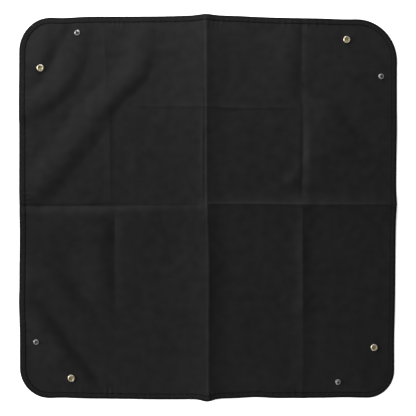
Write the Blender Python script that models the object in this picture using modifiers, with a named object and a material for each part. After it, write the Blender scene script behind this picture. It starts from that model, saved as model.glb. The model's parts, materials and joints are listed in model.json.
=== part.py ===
"""Repotting mat: a sheet of proofed cloth whose pinched corners snap together to make a tray.

Lengths are in metres and +Z is up. The origin is under the middle of the mat, on the surface that
it lies on. +X is the right side and +Y the back. The mat lies open, as it is before it is folded.
Four walls fold up from a square base. At each corner the cloth between two walls is pinched
outwards along its diagonal, and a stud on one half meets a socket on the other.
"""

import math

import bmesh
import bpy
from mathutils import Matrix, Vector

# Mat: its outline, its cloth and the binding sewn around its edge
MAT_WIDTH = 0.676
MAT_LENGTH = 0.684
CORNER_RADIUS = 0.060
CLOTH_THICKNESS = 0.0006
BINDING_WIDTH = 0.0105
BINDING_THICKNESS = 0.0004
BINDING_ROUND = 0.0005
FIT_GAP = 0.0003

# Folds: the height of the upright walls, and the room left at the fold lines, whose axes lie in
# the cloth's upper face
WALL_DEPTH = 0.1155
FOLD_TURN = math.radians(1.0)
FOLD_GAP = 0.0006
FOLD_POINT_ROOM = 0.0012
BINDING_END_ROOM = 0.0005

# Creases left by storage: how high they stand, how wide they are and where they run out
CREASE_HEIGHT = 0.0046
CREASE_HALF_WIDTH = 0.012
CREST_WIDTH_SHARE = 0.35
CREST_HEIGHT_SHARE = 0.72
FLAT_AT_FOLD = 0.002
FADE_AT_FOLD = 0.015
FADE_AT_BINDING = 0.012

# Each crease: its place over the half side, its slant over the run, and its height at the near
# end, at the three creases that cross it and at the far end, where a valley is below zero
LONG_CREASE_SHARES = (
    (-0.51, -0.010, (-0.15, -0.32, -0.22, 0.25, -0.12)),
    (-0.01, -0.014, (1.00, 0.80, 0.75, 0.80, 1.00)),
    (0.49, -0.010, (0.20, 0.35, 0.35, -0.26, -0.20)),
)
CROSS_CREASE_SHARES = (
    (-0.51, 0.000, (0.10, 0.16, 0.18, 0.16, 0.10)),
    (0.02, 0.000, (-0.30, -0.32, 0.20, 0.36, 0.34)),
    (0.53, 0.000, (0.10, 0.20, 0.28, 0.26, 0.12)),
)

# Snap fasteners: their distance from the rim of the wall that carries the flap, their height over
# the fold and their distance from the flap's hinge
SNAP_TO_RIM = 0.0335
SNAP_RISE = WALL_DEPTH - SNAP_TO_RIM
SNAP_REACH = 0.018

# Post under the cloth: a flange and a barrel with a bore right through
POST_BORE_RADIUS = 0.0016
POST_BARREL_WALL = 0.0004
POST_FLANGE_REACH = 0.00325
POST_HEIGHT = 0.0013
POST_ROUND = 0.0004
POST_BARREL_DROP = 0.0006

# Stud on the cloth: a flange and a nub that swells above its neck
STUD_NECK_WALL = 0.0003
STUD_NUB_SWELL = 0.00035
STUD_FLANGE_REACH = 0.00185
STUD_FLANGE_THICKNESS = 0.0008
STUD_NECK_HEIGHT = 0.0004
STUD_NUB_HEIGHT = 0.0012
STUD_ROUND = 0.0003

# Socket on the cloth: a dish with a turned-in lip over the groove of its spring
SOCKET_MOUTH_GAP = 0.00045
SOCKET_LIP_WIDTH = 0.0015
SOCKET_SIDE_WIDTH = 0.0014
SOCKET_HEIGHT = 0.0030
SOCKET_FLOOR = 0.0004
SOCKET_LIP_THICKNESS = 0.0005
SOCKET_LIP_DROP = 0.0003
SOCKET_SIDE_WALL = 0.0010
SOCKET_ROUND = 0.0006

# Ring spring in the socket
SPRING_WIRE_RADIUS = 0.00025
SPRING_SHOW = 0.0001
SPRING_OPENING = math.radians(50)

# Cap under the cloth: a low dome, and a barrel spread over the floor of the socket
CAP_RADIUS = 0.0075
CAP_HEIGHT = 0.0017
CAP_EDGE = 0.0005
CAP_FLAT_SHARE = 0.45
CAP_BORE_RADIUS = 0.0014
CAP_BORE_DEPTH = 0.0012
CAP_BARREL_WALL = 0.0006
CAP_HEAD_REACH = 0.0007
CAP_HEAD_THICKNESS = 0.0003

# Facets
CORNER_STEPS = 8
SNAP_SIDES = 24
SPRING_STEPS = 20
DOME_STEPS = 4
SMOOTH_ANGLE = math.radians(35)
CUTTER_OVERRUN = 0.001
MERGE_DISTANCE = 0.00001

# Heights of the cloth and of what sits on it
CLOTH_UNDERSIDE = CAP_HEIGHT + FIT_GAP
CLOTH_TOP = CLOTH_UNDERSIDE + CLOTH_THICKNESS
SNAP_SEAT = CLOTH_TOP + FIT_GAP

# Radii that fit in each other, from the post's bore outwards and from the cap's bore outwards
POST_BARREL_RADIUS = POST_BORE_RADIUS + POST_BARREL_WALL
STUD_BORE_RADIUS = POST_BARREL_RADIUS + FIT_GAP
STUD_NECK_RADIUS = STUD_BORE_RADIUS + STUD_NECK_WALL
STUD_NUB_RADIUS = STUD_NECK_RADIUS + STUD_NUB_SWELL
CAP_BARREL_RADIUS = CAP_BORE_RADIUS + CAP_BARREL_WALL
SOCKET_HOLE_RADIUS = CAP_BARREL_RADIUS + FIT_GAP
SOCKET_MOUTH_RADIUS = STUD_NUB_RADIUS + SOCKET_MOUTH_GAP

RIGHT_ANGLE = math.radians(90)
SIDE_NAMES = ("right", "back", "left", "front")
CORNER_NAMES = ("back_right", "back_left", "front_left", "front_right")
CORNER_SIGNS = ((1, 1), (-1, 1), (-1, -1), (1, -1))
UP = Vector((0, 0, 1))


def start_scene():
    """Clear the scene and return the collections for the parts and for the cutters."""
    for old in list(bpy.data.objects):
        bpy.data.objects.remove(old, do_unlink=True)
    collections = []
    for name in ("Repotting_mat", "Cutters"):
        collection = bpy.data.collections.new(name)
        bpy.context.scene.collection.children.link(collection)
        collections.append(collection)
    return collections


def make_material(name, colour, roughness, metallic):
    """Return a plain Principled material."""
    material = bpy.data.materials.new(name)
    material.use_nodes = True
    shader = material.node_tree.nodes["Principled BSDF"]
    shader.inputs["Base Color"].default_value = (*colour, 1.0)
    shader.inputs["Roughness"].default_value = roughness
    shader.inputs["Metallic"].default_value = metallic
    material.diffuse_color = (*colour, 1.0)
    return material


def outward(side):
    """Return the level direction that points out through one side of the fold square."""
    return Matrix.Rotation(side * RIGHT_ANGLE - FOLD_TURN, 3, "Z") @ Vector((1, 0, 0))


def fold_point(corner):
    """Return the point, on the ground, over which the folds of one corner meet."""
    sign_x, sign_y = CORNER_SIGNS[corner]
    square = Vector((sign_x * (MAT_WIDTH / 2 - WALL_DEPTH), sign_y * (MAT_LENGTH / 2 - WALL_DEPTH), 0))
    return Matrix.Rotation(-FOLD_TURN, 3, "Z") @ square


def snap_point(corner, is_socket):
    """Return the place of a socket or of the stud that meets it when the corner is pinched."""
    first, second = outward(corner), outward(corner + 1)
    if is_socket:
        first, second = second, first
    return fold_point(corner) + SNAP_RISE * first + SNAP_REACH * second


def outline_points(inset, height):
    """Return the points of the mat's rounded outline, drawn in by an inset, at one height."""
    points = []
    for corner, (sign_x, sign_y) in enumerate(CORNER_SIGNS):
        centre_x = sign_x * (MAT_WIDTH / 2 - CORNER_RADIUS)
        centre_y = sign_y * (MAT_LENGTH / 2 - CORNER_RADIUS)
        for step in range(CORNER_STEPS + 1):
            angle = RIGHT_ANGLE * (corner + step / CORNER_STEPS)
            reach = Vector((math.cos(angle), math.sin(angle), 0)) * (CORNER_RADIUS - inset)
            points.append(Vector((centre_x, centre_y, height)) + reach)
    return points


def base_planes():
    """Return the planes that bound the base, each as a point and the normal of the kept side."""
    return [(fold_point(side) - outward(side) * FOLD_GAP / 2, -outward(side)) for side in range(4)]


def wall_planes(side, end_room):
    """Return the planes that bound one wall: its fold line and the lines of the flaps at its ends."""
    away = outward(side)
    planes = [(fold_point(side) + away * FOLD_GAP / 2, away)]
    for corner, beyond in ((side, outward(side + 1)), (side - 1, outward(side - 1))):
        planes.append((fold_point(corner) - beyond * (FOLD_GAP / 2 + end_room), -beyond))
    return planes


def flap_planes(corner, is_socket, end_room):
    """Return the planes that bound one flap: its hinge, the corner's diagonal and the fold point."""
    first, second = outward(corner), outward(corner + 1)
    if is_socket:
        first, second = second, first
    point = fold_point(corner)
    diagonal = (first + second).normalized()
    across = (first - second).normalized()
    return [
        (point + second * (FOLD_GAP / 2 + end_room), second),
        (point + across * FOLD_GAP / 2, across),
        (point + diagonal * FOLD_POINT_ROOM, diagonal),
    ]


def bisect(surface, point, normal, clear):
    """Cut a surface along a plane, and clear what lies behind the plane if asked."""
    geometry = surface.verts[:] + surface.edges[:] + surface.faces[:]
    bmesh.ops.bisect_plane(
        surface,
        geom=geometry,
        dist=MERGE_DISTANCE,
        plane_co=point,
        plane_no=normal,
        clear_inner=clear,
    )


def crease_offset(shares, run, place):
    """Return how far a place lies from a crease line, where run is the place's way along it."""
    place_share, slant_share, _ = shares
    half_side, along = run
    return place - place_share * half_side - slant_share * along


def height_share_along(crossing_places, heights, along):
    """Return the height share of a crease at a place along it, straight between its stations."""
    for start, end, low, high in zip(crossing_places, crossing_places[1:], heights, heights[1:]):
        if along <= end:
            part = min(max((along - start) / (end - start), 0), 1)
            return low + (high - low) * part
    return heights[-1]


def ridge_share(offset):
    """Return the height share across a crease: a tent with a blunt crest."""
    reach = abs(offset) / CREASE_HALF_WIDTH
    if reach >= 1:
        return 0
    if reach <= CREST_WIDTH_SHARE:
        return 1 - (1 - CREST_HEIGHT_SHARE) * reach / CREST_WIDTH_SHARE
    return CREST_HEIGHT_SHARE * (1 - reach) / (1 - CREST_WIDTH_SHARE)


def crease_places(creases, half_side, half_run):
    """Return the stations along a crease: both ends and the creases that cross it."""
    return [-half_run] + [shares[0] * half_side for shares in creases] + [half_run]


def relief(x, y):
    """Return how far the creases lift the cloth at one place: nothing at the folds and the binding."""
    half_x, half_y = MAT_WIDTH / 2, MAT_LENGTH / 2
    lifts = [0]
    for shares in LONG_CREASE_SHARES:
        stations = crease_places(CROSS_CREASE_SHARES, half_y, half_y)
        across = ridge_share(crease_offset(shares, (half_x, y), x))
        lifts.append(across * height_share_along(stations, shares[2], y))
    for shares in CROSS_CREASE_SHARES:
        stations = crease_places(LONG_CREASE_SHARES, half_x, half_x)
        across = ridge_share(crease_offset(shares, (half_y, x), y))
        lifts.append(across * height_share_along(stations, shares[2], x))
    place = Vector((x, y, 0))
    to_fold = min(abs((place - fold_point(side)).dot(outward(side))) for side in range(4))
    to_binding = min(half_x - abs(x), half_y - abs(y)) - BINDING_WIDTH
    fade = min((to_fold - FLAT_AT_FOLD) / (FADE_AT_FOLD - FLAT_AT_FOLD), to_binding / FADE_AT_BINDING, 1)
    return max(lifts, key=abs) * CREASE_HEIGHT * max(fade, 0)


def crease_lines(creases, half_side, is_long):
    """Return the cutting planes along a set of creases: feet, shoulders and crest."""
    lines = []
    for place_share, slant_share, _ in creases:
        for across_share in (-1, -CREST_WIDTH_SHARE, 0, CREST_WIDTH_SHARE, 1):
            place = place_share * half_side + across_share * CREASE_HALF_WIDTH
            point, normal = Vector((place, 0, 0)), Vector((1, -slant_share, 0))
            if not is_long:
                point, normal = Vector((0, place, 0)), Vector((-slant_share, 1, 0))
            lines.append((point, normal))
    return lines


def fade_lines(side, sign):
    """Return the planes beside one fold line where the creases begin and reach full height."""
    away = outward(side)
    return [(fold_point(side) + away * sign * room, away) for room in (FLAT_AT_FOLD, FADE_AT_FOLD)]


def binding_fade_lines(side):
    """Return the planes along one edge where the creases run out before the binding."""
    square = Matrix.Rotation(side * RIGHT_ANGLE, 3, "Z") @ Vector((1, 0, 0))
    half_side = MAT_LENGTH / 2 if side % 2 else MAT_WIDTH / 2
    rooms = (BINDING_WIDTH, BINDING_WIDTH + FADE_AT_BINDING)
    return [(square * (half_side - room), square) for room in rooms]


def make_cloth(name, planes, lines, material, collection):
    """Make one panel of the cloth: the outline cut by planes, extruded and lifted by the creases."""
    sheet = bmesh.new()
    inset = BINDING_THICKNESS + FIT_GAP
    sheet.faces.new([sheet.verts.new(point) for point in outline_points(inset, CLOTH_TOP)])
    for point, normal in planes:
        bisect(sheet, point, normal, True)
    for point, normal in lines:
        bisect(sheet, point, normal, False)
    lower = bmesh.ops.extrude_face_region(sheet, geom=sheet.faces[:], use_keep_orig=True)["geom"]
    lower_verts = [item for item in lower if isinstance(item, bmesh.types.BMVert)]
    bmesh.ops.translate(sheet, verts=lower_verts, vec=-UP * CLOTH_THICKNESS)
    for vertex in sheet.verts:
        vertex.co.z += relief(vertex.co.x, vertex.co.y)
    bmesh.ops.recalc_face_normals(sheet, faces=sheet.faces[:])
    return finish_mesh(name, sheet, material, collection)


def make_binding(name, planes, material, collection):
    """Make one run of the binding: a folded tape around the edge, closed by a Solidify modifier."""
    top = CLOTH_TOP + FIT_GAP + BINDING_THICKNESS
    bottom = CLOTH_UNDERSIDE - FIT_GAP - BINDING_THICKNESS
    section = (
        (BINDING_WIDTH, top),
        (BINDING_ROUND, top),
        (0, top - BINDING_ROUND),
        (0, bottom + BINDING_ROUND),
        (BINDING_ROUND, bottom),
        (BINDING_WIDTH, bottom),
    )
    tape = bmesh.new()
    loops = [[tape.verts.new(point) for point in outline_points(*place)] for place in section]
    for upper, lower in zip(loops, loops[1:]):
        count = len(upper)
        for index in range(count):
            following = (index + 1) % count
            tape.faces.new((upper[index], lower[index], lower[following], upper[following]))
    for point, normal in planes:
        bisect(tape, point, normal, True)
    binding = finish_mesh(name, tape, material, collection)
    solidify = binding.modifiers.new("Tape", "SOLIDIFY")
    solidify.thickness = BINDING_THICKNESS
    solidify.offset = -1
    solidify.use_even_offset = True
    return binding


def finish_mesh(name, shape, material, collection):
    """Turn a bmesh into an object with one material."""
    mesh = bpy.data.meshes.new(name)
    shape.to_mesh(mesh)
    shape.free()
    mesh.materials.append(material)
    new_object = bpy.data.objects.new(name, mesh)
    collection.objects.link(new_object)
    return new_object


def make_turned_mesh(name, profile, is_ring, material, collection):
    """Turn a profile of radii and heights about Z and return its mesh for the copies to share."""
    outline = bmesh.new()
    verts = [outline.verts.new((radius, 0, height)) for radius, height in profile]
    for start, end in zip(verts, verts[1:] + verts[:1] if is_ring else verts[1:]):
        outline.edges.new((start, end))
    turned = finish_mesh(name, outline, material, collection)
    screw = turned.modifiers.new("Turn", "SCREW")
    screw.steps = SNAP_SIDES
    screw.render_steps = SNAP_SIDES
    screw.use_merge_vertices = True
    screw.merge_threshold = MERGE_DISTANCE
    screw.use_smooth_shade = True
    bpy.context.view_layer.update()
    evaluated = turned.evaluated_get(bpy.context.evaluated_depsgraph_get())
    mesh = bpy.data.meshes.new_from_object(evaluated)
    mesh.name = name
    mesh.set_sharp_from_angle(angle=SMOOTH_ANGLE)
    bpy.data.objects.remove(turned, do_unlink=True)
    return mesh


def cap_profile():
    """Return the cap's profile, from its bore over the spread head and barrel down to the dome."""
    head_under = SNAP_SEAT + SOCKET_FLOOR + FIT_GAP
    head_top = head_under + CAP_HEAD_THICKNESS
    head_radius = SOCKET_HOLE_RADIUS + CAP_HEAD_REACH
    flat_radius = CAP_RADIUS * CAP_FLAT_SHARE
    profile = [
        (0, head_top - CAP_BORE_DEPTH),
        (CAP_BORE_RADIUS, head_top - CAP_BORE_DEPTH),
        (CAP_BORE_RADIUS, head_top),
        (head_radius, head_top),
        (head_radius, head_under),
        (CAP_BARREL_RADIUS, head_under),
        (CAP_BARREL_RADIUS, CAP_HEIGHT),
        (CAP_RADIUS - CAP_EDGE, CAP_HEIGHT),
        (CAP_RADIUS, CAP_HEIGHT - CAP_EDGE),
    ]
    for step in range(1, DOME_STEPS + 1):
        share = 1 - step / DOME_STEPS
        radius = flat_radius + (CAP_RADIUS - flat_radius) * share
        profile.append((radius, (CAP_HEIGHT - CAP_EDGE) * share ** 2))
    return profile + [(0, 0)]


def socket_profile():
    """Return the socket's closed profile: its crest, side, underside, floor, groove and lip."""
    crest_radius = SOCKET_MOUTH_RADIUS + SOCKET_LIP_WIDTH
    side_radius = crest_radius + SOCKET_SIDE_WIDTH
    groove_radius = side_radius - SOCKET_SIDE_WALL
    top = SNAP_SEAT + SOCKET_HEIGHT
    lip_top = top - SOCKET_LIP_DROP
    floor = SNAP_SEAT + SOCKET_FLOOR
    return [
        (crest_radius, top),
        (side_radius - SOCKET_ROUND, top - SOCKET_ROUND / 2),
        (side_radius - SOCKET_ROUND / 3, top - SOCKET_ROUND * 2),
        (side_radius, SNAP_SEAT + SOCKET_ROUND),
        (side_radius - SOCKET_ROUND / 3, SNAP_SEAT),
        (SOCKET_HOLE_RADIUS, SNAP_SEAT),
        (SOCKET_HOLE_RADIUS, floor),
        (groove_radius, floor),
        (groove_radius, lip_top - SOCKET_LIP_THICKNESS),
        (SOCKET_MOUTH_RADIUS, lip_top - SOCKET_LIP_THICKNESS),
        (SOCKET_MOUTH_RADIUS, lip_top),
        (SOCKET_MOUTH_RADIUS + SOCKET_LIP_DROP, lip_top + SOCKET_LIP_DROP / 2),
    ]


def stud_profile():
    """Return the stud's closed profile: its mouth, swollen nub, neck and flange."""
    top = SNAP_SEAT + STUD_FLANGE_THICKNESS + STUD_NECK_HEIGHT + STUD_NUB_HEIGHT
    neck_top = top - STUD_NUB_HEIGHT
    flange_radius = STUD_NUB_RADIUS + STUD_FLANGE_REACH
    flange_top = SNAP_SEAT + STUD_FLANGE_THICKNESS
    return [
        (STUD_BORE_RADIUS, top),
        (STUD_NUB_RADIUS - STUD_ROUND, top),
        (STUD_NUB_RADIUS, top - STUD_ROUND),
        (STUD_NUB_RADIUS, neck_top + STUD_ROUND),
        (STUD_NECK_RADIUS, neck_top),
        (STUD_NECK_RADIUS, flange_top),
        (flange_radius - STUD_ROUND, flange_top),
        (flange_radius, flange_top - STUD_ROUND),
        (flange_radius, SNAP_SEAT),
        (STUD_BORE_RADIUS, SNAP_SEAT),
    ]


def post_profile():
    """Return the post's closed profile: its barrel, its flange under the cloth and its bore."""
    stud_top = SNAP_SEAT + STUD_FLANGE_THICKNESS + STUD_NECK_HEIGHT + STUD_NUB_HEIGHT
    barrel_top = stud_top - POST_BARREL_DROP
    flange_radius = POST_BARREL_RADIUS + POST_FLANGE_REACH
    flange_top = CLOTH_UNDERSIDE - FIT_GAP
    flange_under = flange_top - POST_HEIGHT
    return [
        (POST_BORE_RADIUS, barrel_top),
        (POST_BARREL_RADIUS, barrel_top),
        (POST_BARREL_RADIUS, flange_top),
        (flange_radius - POST_ROUND, flange_top),
        (flange_radius, flange_top - POST_ROUND),
        (flange_radius - POST_ROUND, flange_top - POST_ROUND * 2),
        (POST_BARREL_RADIUS + POST_ROUND * 2, flange_under),
        (POST_BARREL_RADIUS, flange_under),
        (POST_BORE_RADIUS, flange_under + POST_ROUND),
    ]


def make_spring_mesh(name, material, collection):
    """Make the open ring of spring wire that lies in the socket's groove, and return its mesh."""
    floor = SNAP_SEAT + SOCKET_FLOOR
    ceiling = SNAP_SEAT + SOCKET_HEIGHT - SOCKET_LIP_DROP - SOCKET_LIP_THICKNESS
    radius = SOCKET_MOUTH_RADIUS - SPRING_SHOW + SPRING_WIRE_RADIUS
    curve = bpy.data.curves.new(name, "CURVE")
    curve.dimensions = "3D"
    curve.bevel_depth = SPRING_WIRE_RADIUS
    curve.bevel_resolution = 1
    curve.use_fill_caps = True
    spline = curve.splines.new("POLY")
    spline.points.add(SPRING_STEPS)
    for step, point in enumerate(spline.points):
        angle = SPRING_OPENING / 2 + (2 * math.pi - SPRING_OPENING) * step / SPRING_STEPS
        point.co = (radius * math.cos(angle), radius * math.sin(angle), (floor + ceiling) / 2, 1)
    wire = bpy.data.objects.new(name, curve)
    collection.objects.link(wire)
    bpy.context.view_layer.update()
    evaluated = wire.evaluated_get(bpy.context.evaluated_depsgraph_get())
    mesh = bpy.data.meshes.new_from_object(evaluated)
    bpy.data.objects.remove(wire, do_unlink=True)
    shape = bmesh.new()
    shape.from_mesh(mesh)
    bmesh.ops.remove_doubles(shape, verts=shape.verts[:], dist=MERGE_DISTANCE)
    bmesh.ops.recalc_face_normals(shape, faces=shape.faces[:])
    shape.to_mesh(mesh)
    shape.free()
    mesh.name = name
    mesh.materials.clear()
    mesh.materials.append(material)
    return mesh


def make_pivot(name, point, parent, collection):
    """Make an empty on a hinge line in the cloth's upper face, for the pieces that turn there."""
    pivot = bpy.data.objects.new(name, None)
    pivot.empty_display_size = WALL_DEPTH / 4
    pivot.location = Vector((point.x, point.y, CLOTH_TOP))
    collection.objects.link(pivot)
    bpy.context.view_layer.update()
    attach(pivot, parent)
    return pivot


def attach(child, parent):
    """Parent an object and leave it where it is."""
    if parent:
        child.parent = parent
        child.matrix_parent_inverse = parent.matrix_world.inverted()
        bpy.context.view_layer.update()


def cut_hole(panel, point, radius, cutters):
    """Cut the hole for a snap's barrel through a panel of cloth."""
    depth = CLOTH_THICKNESS + 2 * CUTTER_OVERRUN
    shape = bmesh.new()
    bmesh.ops.create_cone(
        shape,
        cap_ends=True,
        segments=SNAP_SIDES,
        radius1=radius,
        radius2=radius,
        depth=depth,
    )
    mesh = bpy.data.meshes.new(panel.name + "_hole")
    shape.to_mesh(mesh)
    shape.free()
    cutter = bpy.data.objects.new(mesh.name, mesh)
    cutter.location = (point.x, point.y, (CLOTH_UNDERSIDE + CLOTH_TOP) / 2)
    cutter.hide_render = True
    cutter.display_type = "WIRE"
    cutters.objects.link(cutter)
    boolean = panel.modifiers.new("Snap_hole", "BOOLEAN")
    boolean.operation = "DIFFERENCE"
    boolean.object = cutter


def place_copy(name, mesh, point, parent, collection):
    """Place one copy of a snap's piece at a point and hang it on its flap's pivot."""
    copy = bpy.data.objects.new(name, mesh)
    copy.location = (point.x, point.y, 0)
    collection.objects.link(copy)
    bpy.context.view_layer.update()
    attach(copy, parent)


def main():
    """Build the mat: base, walls, flaps, binding and snaps."""
    parts, cutters = start_scene()
    cloth = make_material("Proofed_cloth", (0.022, 0.022, 0.023), 0.75, 0.0)
    tape = make_material("Binding_tape", (0.016, 0.016, 0.017), 0.85, 0.0)
    brass = make_material("Brass_plate", (0.45, 0.36, 0.20), 0.35, 1.0)
    nickel = make_material("Nickel_plate", (0.45, 0.45, 0.45), 0.35, 1.0)
    steel = make_material("Spring_steel", (0.35, 0.35, 0.36), 0.40, 1.0)

    socket_mesh = make_turned_mesh("Socket", socket_profile(), True, brass, parts)
    spring_mesh = make_spring_mesh("Spring", steel, parts)
    cap_mesh = make_turned_mesh("Cap", cap_profile(), False, brass, parts)
    stud_mesh = make_turned_mesh("Stud", stud_profile(), True, nickel, parts)
    post_mesh = make_turned_mesh("Post", post_profile(), True, nickel, parts)

    long_lines = crease_lines(LONG_CREASE_SHARES, MAT_WIDTH / 2, True)
    cross_lines = crease_lines(CROSS_CREASE_SHARES, MAT_LENGTH / 2, False)
    base_lines = long_lines + cross_lines
    for side in range(4):
        base_lines += fade_lines(side, -1)
    make_cloth("base_panel", base_planes(), base_lines, cloth, parts)

    wall_pivots = []
    for side, side_name in enumerate(SIDE_NAMES):
        middle = (fold_point(side) + fold_point(side - 1)) / 2
        pivot = make_pivot("fold_" + side_name, middle, None, parts)
        lines = (long_lines if side % 2 else cross_lines) + fade_lines(side, 1) + binding_fade_lines(side)
        wall = make_cloth("wall_" + side_name, wall_planes(side, 0), lines, cloth, parts)
        run = make_binding("binding_" + side_name, wall_planes(side, BINDING_END_ROOM), tape, parts)
        attach(wall, pivot)
        attach(run, pivot)
        wall_pivots.append(pivot)

    for corner, corner_name in enumerate(CORNER_NAMES):
        for is_socket in (True, False):
            kind = "socket" if is_socket else "stud"
            flap_name = f"{corner_name}_{kind}_flap"
            side = (corner + 1) % 4 if is_socket else corner
            point = fold_point(corner)
            pivot = make_pivot("pinch_" + flap_name, point, wall_pivots[side], parts)
            flap = make_cloth(flap_name, flap_planes(corner, is_socket, 0), [], cloth, parts)
            run_planes = flap_planes(corner, is_socket, BINDING_END_ROOM)
            run = make_binding("binding_" + flap_name, run_planes, tape, parts)
            attach(flap, pivot)
            attach(run, pivot)
            snap = snap_point(corner, is_socket)
            if is_socket:
                cut_hole(flap, snap, SOCKET_HOLE_RADIUS, cutters)
                place_copy("socket_" + corner_name, socket_mesh, snap, pivot, parts)
                place_copy("spring_" + corner_name, spring_mesh, snap, pivot, parts)
                place_copy("cap_" + corner_name, cap_mesh, snap, pivot, parts)
            else:
                cut_hole(flap, snap, STUD_BORE_RADIUS, cutters)
                place_copy("stud_" + corner_name, stud_mesh, snap, pivot, parts)
                place_copy("post_" + corner_name, post_mesh, snap, pivot, parts)


main()
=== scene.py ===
import json
import math

import bpy
import numpy as np
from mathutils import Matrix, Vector


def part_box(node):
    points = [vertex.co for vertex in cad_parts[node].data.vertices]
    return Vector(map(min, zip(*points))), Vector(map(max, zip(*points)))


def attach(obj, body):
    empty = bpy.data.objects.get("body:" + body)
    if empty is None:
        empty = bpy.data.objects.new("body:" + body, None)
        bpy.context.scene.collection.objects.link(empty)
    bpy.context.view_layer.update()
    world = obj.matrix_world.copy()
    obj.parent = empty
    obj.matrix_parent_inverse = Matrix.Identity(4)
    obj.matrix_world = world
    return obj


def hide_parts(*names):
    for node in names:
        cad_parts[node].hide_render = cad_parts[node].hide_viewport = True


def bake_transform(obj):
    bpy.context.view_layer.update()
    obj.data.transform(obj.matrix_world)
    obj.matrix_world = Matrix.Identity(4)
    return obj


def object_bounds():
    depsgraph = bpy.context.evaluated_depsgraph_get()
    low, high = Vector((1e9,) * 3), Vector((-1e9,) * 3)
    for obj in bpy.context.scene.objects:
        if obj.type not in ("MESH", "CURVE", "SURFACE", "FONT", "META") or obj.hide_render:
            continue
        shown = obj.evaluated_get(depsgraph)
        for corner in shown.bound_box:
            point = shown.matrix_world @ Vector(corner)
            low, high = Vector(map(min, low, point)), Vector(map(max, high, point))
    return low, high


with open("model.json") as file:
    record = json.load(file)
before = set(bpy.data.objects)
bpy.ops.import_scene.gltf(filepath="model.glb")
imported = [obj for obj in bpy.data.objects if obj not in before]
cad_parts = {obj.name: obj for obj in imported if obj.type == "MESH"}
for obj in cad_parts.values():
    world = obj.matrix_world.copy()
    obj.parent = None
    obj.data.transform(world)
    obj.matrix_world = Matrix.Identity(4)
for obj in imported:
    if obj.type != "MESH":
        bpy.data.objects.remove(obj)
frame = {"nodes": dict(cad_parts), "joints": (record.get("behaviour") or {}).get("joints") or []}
CAD_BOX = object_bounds()

# Lengths are in metres, +X is the photo's right side and +Y its top. MM turns a millimetre into them.
MM = 0.001

# Cloth: its thickness, how far its edge and its whole cells stay inside the rim, the band that is
# measured from the rim, and the least heights
CLOTH_THICKNESS = 0.6 * MM
RIM_INSET = 1.2 * MM
KEPT_INSET = 1.8 * MM
RIM_BAND = 45 * MM
LOWEST_LIFT = -1.6 * MM
LOWEST_RIM_LIFT = -0.5 * MM

# Grid of the cloth: its cells, the steps where it bends, and the zones across the creases, in
# millimetres, where its cells are finer
CELL = 3.5 * MM
FINE_CELL = 1.3 * MM
FINE_FADE = 6 * MM
FINE_ZONES_ACROSS = ((-190, -160), (-18, 16), (150, 180))
FINE_ZONES_UP = ((178, 194), (-4, 24))
GRID_SAMPLES = 2001
GRID_OVERRUN = 16 * MM
BEND_WIDTH = 4.0 * MM
BEND_STEP = 0.8 * MM

# Flaps: how far the cloth sags there between the snaps, and what the folded flaps leave between them
FLAP_SAG = 2.0 * MM
FLAP_LEAD = 16 * MM
FLAP_FADE = 20 * MM
FLAP_CLEARANCE = 0.2 * MM
TAPE_CLEARANCE = 1.0 * MM
LEAST_ROOM = 0.002 * MM
WALL_TURN = math.radians(85)
FLAP_TURN = WALL_TURN / 2

# Mat's outline as it lies: corner radii from back right, counter-clockwise, and how far each side
# swells out: place along the side, half width of the swelling, and its reach, in millimetres
CORNER_RADII = (77 * MM, 63 * MM, 56 * MM, 50 * MM)
CORNER_STEPS = 61
SIDE_STEPS = 240
EDGE_SWELLINGS = {
    "right": ((250, 50, -0.6), (14, 20, 0.9), (-237, 50, -0.8)),
    "back": ((-264, 34, -3.0), (10, 95, 3.4), (-7, 15, 2.2), (244, 30, -1.0)),
    "left": ((200, 60, 0.5), (-35, 45, -1.0), (-165, 25, 1.0)),
    "front": ((-265, 32, -1.8), (-80, 62, 1.8), (-2, 13, 4.2), (85, 26, -2.0), (245, 26, -0.8)),
}

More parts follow.
